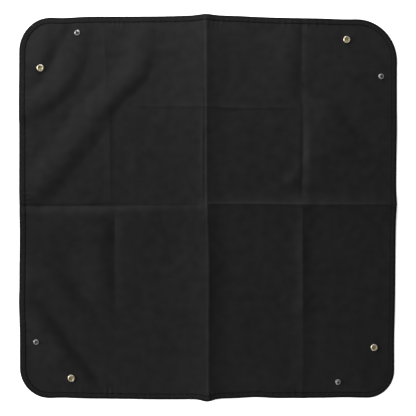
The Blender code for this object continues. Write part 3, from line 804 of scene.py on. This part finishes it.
def make_stitches(name, material):
    """Make the two rows of stitches that hold one run of tape, over and under the cloth."""
    points, facing, stations, _ = rim_run(name)
    count = max(int((stations[-1] - stations[0]) / STITCH_PITCH), 1)
    pitch = (stations[-1] - stations[0]) / count
    centres = stations[0] + pitch * (np.arange(count) + 0.5)
    middle = np.array([np.interp(centres, stations, points[:, k]) for k in (0, 1)]).T
    away = unit(np.array([np.interp(centres, stations, facing[:, k]) for k in (0, 1)]).T)
    tangent = np.stack([-away[:, 1], away[:, 0]], 1)
    middle = middle - away * STITCH_PLACE
    all_points, faces = [], []
    for level in (1, -1):
        rise = face_height(level) + relief(middle)[0]
        for stitch in zip(middle, away, tangent, rise):
            add_stitch(all_points, faces, stitch, level)
    piece = add_mesh("stitches_" + name, all_points, faces, material)
    set_uv(piece, np.array(all_points)[:, :2])
    return piece


def add_stitch(all_points, faces, stitch, level):
    """Add one stitch's points and faces, over the cloth for level 1 or under it for level -1."""
    centre, out, way, height = stitch
    tube = tube_faces(THREAD_SIDES, len(STITCH_PLACE_SHARES), len(all_points))
    faces.extend(face[::-1] for face in tube)
    for place, sink, thick in zip(STITCH_PLACE_SHARES, STITCH_SINK_SHARES, STITCH_RADIUS_SHARES):
        spot = centre + way * STITCH_LENGTH * place
        radius = thick * THREAD_RADIUS
        ring_height = height + level * (STITCH_RISE + sink * THREAD_RADIUS)
        for angle in np.arange(THREAD_SIDES) * 2 * math.pi / THREAD_SIDES:
            side = spot + out * radius * math.cos(angle)
            all_points.append((*side, ring_height + radius * THREAD_FLATNESS * math.sin(angle)))


def node_tree(name):
    """Make a material and return it with its node tree and its shader."""
    material = bpy.data.materials.new(name)
    material.use_nodes = True
    tree = material.node_tree
    return material, tree, tree.nodes["Principled BSDF"]


def add_node(tree, kind, inputs=None, **settings):
    """Add a node, set its settings and its inputs, and link those that are sockets."""
    node = tree.nodes.new(kind)
    for key, value in settings.items():
        setattr(node, key, value)
    for key, value in (inputs or {}).items():
        if isinstance(value, bpy.types.NodeSocket):
            tree.links.new(value, node.inputs[key])
        else:
            node.inputs[key].default_value = value
    return node


def math_node(tree, operation, *values):
    """Add a math node and return its result."""
    return add_node(tree, "ShaderNodeMath", dict(enumerate(values)), operation=operation).outputs[0]


def noise(tree, vector, scale, detail):
    """Add a noise texture and return its value."""
    inputs = {"Vector": vector, "Scale": scale, "Detail": detail}
    return add_node(tree, "ShaderNodeTexNoise", inputs).outputs["Fac"]


def colour_ramp(tree, factor, stops):
    """Add a colour ramp of grey or coloured stops and return its colour."""
    node = add_node(tree, "ShaderNodeValToRGB", {"Fac": factor})
    ramp = node.color_ramp
    while len(ramp.elements) < len(stops):
        ramp.elements.new(0.5)
    for element, (place, colour) in zip(ramp.elements, stops):
        element.position = place
        element.color = (*colour, 1)
    return node.outputs["Color"]


def tint(tree, shader, first, second):
    """Give the shader the product of two colours."""
    both = add_node(tree, "ShaderNodeVectorMath", {0: first, 1: second}, operation="MULTIPLY")
    tree.links.new(both.outputs["Vector"], shader.inputs["Base Color"])


def bump(tree, shader, height, strength, depth):
    """Give the shader a relief of the given height, strength and depth."""
    node = add_node(tree, "ShaderNodeBump", {"Height": height, "Strength": strength, "Distance": depth})
    tree.links.new(node.outputs["Normal"], shader.inputs["Normal"])


def weave_height(tree, uv, pitch):
    """Return the height of a plain weave, as soft humps that take turns both ways."""
    axes = add_node(tree, "ShaderNodeSeparateXYZ", {"Vector": uv})
    wave_u = math_node(tree, "SINE", math_node(tree, "MULTIPLY", axes.outputs["X"], math.pi / pitch[0]))
    wave_v = math_node(tree, "SINE", math_node(tree, "MULTIPLY", axes.outputs["Y"], math.pi / pitch[1]))
    return math_node(tree, "MULTIPLY_ADD", math_node(tree, "MULTIPLY", wave_u, wave_v), 0.5, 0.5)


def cloth_material():
    """Proofed Oxford cloth: a fine weave, a slight sheen and faint mottling."""
    material, tree, shader = node_tree("Proofed_cloth")
    uv = add_node(tree, "ShaderNodeTexCoord").outputs["UV"]
    weave = weave_height(tree, uv, WEAVE_PITCH)
    mottle = noise(tree, uv, 60.0, 6.0)
    grain = noise(tree, uv, 420.0, 3.0)
    shade = math_node(tree, "MULTIPLY_ADD", grain, 0.6, mottle)
    dark, light = (0.0038, 0.0038, 0.0039), (0.0072, 0.0072, 0.0073)
    tree.links.new(colour_ramp(tree, shade, ((0.5, dark), (1.0, light))), shader.inputs["Base Color"])
    rough = math_node(tree, "MULTIPLY_ADD", mottle, 0.16, 0.50)
    tree.links.new(rough, shader.inputs["Roughness"])
    bump(tree, shader, math_node(tree, "MULTIPLY_ADD", grain, 0.35, weave), 0.45, WEAVE_DEPTH)
    shader.inputs["Specular IOR Level"].default_value = 0.10
    shader.inputs["Sheen Weight"].default_value = 0.015
    shader.inputs["Sheen Roughness"].default_value = 0.5
    return material


def tape_material(name, dark, light, painted_edge_shade=1.0):
    """Ribbed binding tape, with painted shade along its rolled fold and its inner edge, or the sewing thread.
    """
    material, tree, shader = node_tree(name)
    uv = add_node(tree, "ShaderNodeTexCoord").outputs["UV"]
    ribs = weave_height(tree, uv, RIB_PITCH)
    fuzz = noise(tree, uv, 420.0, 3.0)
    colour = colour_ramp(tree, fuzz, ((0.3, dark), (0.75, light)))
    across = add_node(tree, "ShaderNodeSeparateXYZ", {"Vector": uv}).outputs["Y"]
    share = math_node(tree, "DIVIDE", math_node(tree, "ABSOLUTE", across), TAPE_WIDTH)
    # Painted shade: the colour is multiplied down to the edge shade along the tape's rolled fold and its
    # inner edge
    full, edge = (1, 1, 1), (painted_edge_shade, painted_edge_shade, painted_edge_shade)
    stops = tuple(zip(TAPE_PAINTED_SHADE_SHARES, (edge, full, full, edge)))
    tint(tree, shader, colour, colour_ramp(tree, share, stops))
    bump(tree, shader, math_node(tree, "MULTIPLY_ADD", fuzz, 0.4, ribs), 0.6, WEAVE_DEPTH)
    shader.inputs["Roughness"].default_value = 0.7
    shader.inputs["Specular IOR Level"].default_value = 0.08
    shader.inputs["Sheen Weight"].default_value = 0.01
    return material


def metal_material(name, stops, rough):
    """Plated metal: coloured by the distance from the snap's middle, with tarnish and fine scratches."""
    material, tree, shader = node_tree(name)
    coordinates = add_node(tree, "ShaderNodeTexCoord")
    place = coordinates.outputs["Object"]
    radius = add_node(tree, "ShaderNodeSeparateXYZ", {"Vector": coordinates.outputs["UV"]}).outputs["X"]
    plate = colour_ramp(tree, math_node(tree, "DIVIDE", radius, SNAP_REACH), stops)
    cloud = noise(tree, place, 260.0, 4.0)
    tint(tree, shader, plate, colour_ramp(tree, cloud, ((0.3, (0.7, 0.7, 0.7)), (0.7, (1, 1, 1)))))
    fine = noise(tree, place, 2600.0, 2.0)
    tree.links.new(math_node(tree, "MULTIPLY_ADD", fine, 0.25, rough), shader.inputs["Roughness"])
    bump(tree, shader, fine, 0.15, SCRATCH_DEPTH)
    shader.inputs["Metallic"].default_value = 1.0
    return material


def make_materials():
    """Make the materials, by the slots of the solids and the thread."""
    brass = ((0.43, (0.42, 0.36, 0.20)), (0.47, (0.66, 0.60, 0.48)))
    # Nickel is painted black within 2.5 mm of the snap's middle: painted shade down the stud's and post's
    # bores
    nickel = ((0.25, (0.01, 0.01, 0.01)), (0.27, (0.40, 0.40, 0.40)))
    steel = ((0.0, (0.3, 0.3, 0.3)), (1.0, (0.4, 0.4, 0.4)))
    return {
        "cloth": cloth_material(),
        # The binding's painted shade darkens its rolled fold and inner edge to a tenth
        "binding": tape_material("Binding_tape", (0.0040, 0.0040, 0.0041), (0.0076, 0.0076, 0.0078), 0.1),
        "thread": tape_material("Thread", (0.0035, 0.0035, 0.0036), (0.0085, 0.0085, 0.0087)),
        "brass": metal_material("Brass_plate", brass, 0.30),
        "nickel": metal_material("Nickel_plate", nickel, 0.32),
        "spring_steel": metal_material("Spring_steel", steel, 0.35),
    }


def soften(profile, reach, is_ring):
    """Cut the corners of a profile, round by round, so that a pressed piece has round edges."""
    points = [np.array(point, float) for point in profile]
    for _ in range(EDGE_ROUNDS):
        softer = []
        last = len(points) if is_ring else len(points) - 1
        for index in range(last):
            start, end = points[index], points[(index + 1) % len(points)]
            cut = min(CUT_SHARE, reach / np.linalg.norm(end - start))
            keeps_start = index == 0 and not is_ring
            keeps_end = index == last - 1 and not is_ring
            softer.append(start if keeps_start else start + (end - start) * cut)
            softer.append(end if keeps_end else end - (end - start) * cut)
        points = softer
        reach = reach / 2
    return points


def make_turned(name, profile, centre, material, is_ring):
    """Turn a profile about an upright line. Without a ring it ends on the line, under flat faces."""
    steps = SNAP_STEPS
    spin = np.arange(steps) * 2 * math.pi / steps
    profile = soften(profile, EDGE_ROUND, is_ring)
    if not is_ring:
        profile = profile[1:-1]
    points, faces = [], []
    for radius, height in profile:
        for angle in spin:
            x, y = centre + radius * np.array([math.cos(angle), math.sin(angle)])
            points.append((x, y, height))
    count = len(profile)
    for row in range(count if is_ring else count - 1):
        low, high = row * steps, (row + 1) % count * steps
        for i in range(steps):
            j = (i + 1) % steps
            faces.append([low + i, high + i, high + j, low + j])
    if not is_ring:
        faces.append(list(range(steps)))
        faces.append([(count - 1) * steps + i for i in range(steps)][::-1])
    piece = add_mesh(name, points, faces, material)
    piece.data.set_sharp_from_angle(angle=SNAP_SHARP_ANGLE)
    set_uv(piece, np.repeat(np.array(profile), steps, axis=0))
    return piece


def socket_profile(low, high, radius):
    """Return the socket's profile: crest, side, foot, floor, groove and lip."""
    floor = low + SOCKET_FLOOR
    wall = radius - SOCKET_WALL
    groove_top = high - SOCKET_GROOVE_TOP
    lip = radius - SOCKET_LIP[0]
    return [
        (radius - SOCKET_CREST, high),
        (radius - SOCKET_SHOULDER[0], high - SOCKET_SHOULDER[1]),
        (radius - SOCKET_SIDE[0], high - SOCKET_SIDE[1]),
        (radius, low + SOCKET_FOOT[1]),
        (radius - SOCKET_FOOT[0], low),
        (SOCKET_BORE, low),
        (SOCKET_BORE, floor),
        (wall, floor),
        (wall, groove_top),
        (lip, groove_top),
        (lip, high - SOCKET_LIP[1]),
        (radius - SOCKET_LIP_EDGE[0], high - SOCKET_LIP_EDGE[1]),
    ]


def stud_profile(low, high, radius):
    """Return the stud's profile: mouth, bead, neck and flange."""
    nub = radius - STUD_FLANGE_REACH
    bore = nub - STUD_WALL
    neck = nub - STUD_NECK
    flange = low + STUD_FLANGE
    return [
        (bore, high),
        (nub - STUD_MOUTH, high),
        (nub, high - STUD_BEAD_TOP),
        (nub, high - STUD_BEAD_FOOT),
        (neck, high - STUD_NECK_TOP),
        (neck, flange),
        (radius - STUD_FLANGE_EDGE, flange),
        (radius, flange - STUD_FLANGE_EDGE),
        (radius, low),
        (bore, low),
    ]


def post_profile(low, high, radius):
    """Return the post's profile: bore, barrel, flange and foot."""
    return [
        (POST_BORE, high),
        (BARREL_RADIUS, high),
        (BARREL_RADIUS, FLANGE_TOP),
        (radius - POST_EDGE, FLANGE_TOP),
        (radius, FLANGE_TOP - POST_EDGE),
        (radius - POST_EDGE, FLANGE_TOP - 2 * POST_EDGE),
        (POST_FOOT, low),
        (BARREL_RADIUS, low),
        (POST_BORE, low + POST_EDGE),
    ]


def cap_profile(low, high, radius):
    """Return the cap's profile: dent, spread head, barrel, rim and dome."""
    edge = FLANGE_TOP - CAP_EDGE
    profile = [
        (0, high - CAP_DENT_DEPTH),
        (CAP_DENT_RADIUS, high - CAP_DENT_DEPTH),
        (CAP_DENT_RADIUS, high),
        (CAP_HEAD_RADIUS, high),
        (CAP_HEAD_RADIUS, high - CAP_HEAD),
        (BARREL_RADIUS, high - CAP_HEAD),
        (BARREL_RADIUS, FLANGE_TOP),
        (radius - CAP_EDGE, FLANGE_TOP),
        (radius, edge),
    ]
    for step in range(1, CAP_STEPS + 1):
        share = 1 - step / CAP_STEPS
        across = CAP_FLAT_SHARE + (1 - CAP_FLAT_SHARE) * share
        profile.append((radius * across, low + edge * share ** 2))
    return profile + [(0, low)]


def make_snaps(materials):
    """Make the turned pieces of the four snaps over their solids."""
    kinds = (
        ("socket", socket_profile, "brass", True, "socket"),
        ("cap", cap_profile, "brass", False, "socket"),
        ("stud", stud_profile, "nickel", True, "stud"),
        ("post", post_profile, "nickel", True, "stud"),
    )
    for corner in CORNERS:
        for kind, profile, metal, is_ring, flap in kinds:
            node = f"{kind}_{corner}"
            low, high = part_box(node)
            radius = (high.x - low.x) / 2
            points = profile(low.z, high.z, radius)
            piece = make_turned("turned_" + node, points, snap_centre(node), materials[metal], is_ring)
            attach(piece, f"{corner}_{flap}_flap")
            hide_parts(node)
        spring = frame["nodes"]["spring_" + corner]
        spring.data.materials.clear()
        spring.data.materials.append(materials["spring_steel"])


def make_floor():
    """Make the plain pale floor, which glows a little wherever it lies open."""
    material, tree, shader = node_tree("Floor")
    shader.inputs["Base Color"].default_value = (0.92, 0.92, 0.92, 1)
    shader.inputs["Roughness"].default_value = 0.9
    shader.inputs["Specular IOR Level"].default_value = 0.0
    shader.inputs["Emission Color"].default_value = (1, 1, 1, 1)
    openness = add_node(tree, "ShaderNodeAmbientOcclusion", {"Distance": FLOOR_SHADE_REACH}, samples=8)
    squared = math_node(tree, "POWER", openness.outputs["AO"], 2.0)
    glow = math_node(tree, "MULTIPLY", squared, FLOOR_GLOW)
    tree.links.new(glow, shader.inputs["Emission Strength"])
    corners = [(x * FLOOR_HALF, y * FLOOR_HALF, 0) for x, y in CORNER_SIGNS]
    floor = add_mesh("floor", corners, [[0, 1, 2, 3]], material, smooth=False)
    floor.location.z = -FLOOR_DEPTH


def add_area_light(name, place, aim, size, power):
    """Add a square light that points at a place."""
    data = bpy.data.lights.new(name, "AREA")
    data.shape = "SQUARE"
    data.size = size
    data.energy = power
    lamp = bpy.data.objects.new(name, data)
    lamp.location = place
    lamp.rotation_euler = (Vector(aim) - Vector(place)).to_track_quat("-Z", "Y").to_euler()
    bpy.context.scene.collection.objects.link(lamp)


def make_studio():
    """Add the lights, the pale surroundings and the camera."""
    for light in LIGHTS:
        add_area_light(*light)
    world = bpy.data.worlds.new("Studio")
    world.use_nodes = True
    background = world.node_tree.nodes["Background"]
    background.inputs["Color"].default_value = (1, 1, 1, 1)
    background.inputs["Strength"].default_value = WORLD_STRENGTH
    scene = bpy.context.scene
    scene.world = world
    scene.view_settings.view_transform = "Standard"
    camera_data = bpy.data.cameras.new("Camera")
    camera_data.lens = CAMERA_LENS
    camera = bpy.data.objects.new("Camera", camera_data)
    camera.location = CAMERA_PLACE
    camera.rotation_euler = CAMERA_TURN
    scene.collection.objects.link(camera)
    scene.camera = camera


def make_trim(name, materials):
    """Make one panel's run of tape and its stitches, on the wall's body for a wall and baked in place for a
    flap.
    """
    tape = make_tape(name, materials["binding"])
    stitches = make_stitches(name, materials["thread"])
    for piece in (tape, stitches):
        if name.startswith("wall_"):
            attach(piece, name)
        else:
            bend_with(piece, name)
    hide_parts("binding_" + name.removeprefix("wall_"))
    return [tape, stitches]


def main():
    """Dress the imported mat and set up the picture."""
    materials = make_materials()
    make_studio()
    make_floor()
    for name, (panel, (width, length, area)) in make_cloth(materials["cloth"]).items():
        bend_with(panel, name)
        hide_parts("base_panel" if name == "base" else name)
        along = [] if name == "base" else make_trim(name, materials)
    make_snaps(materials)


main()
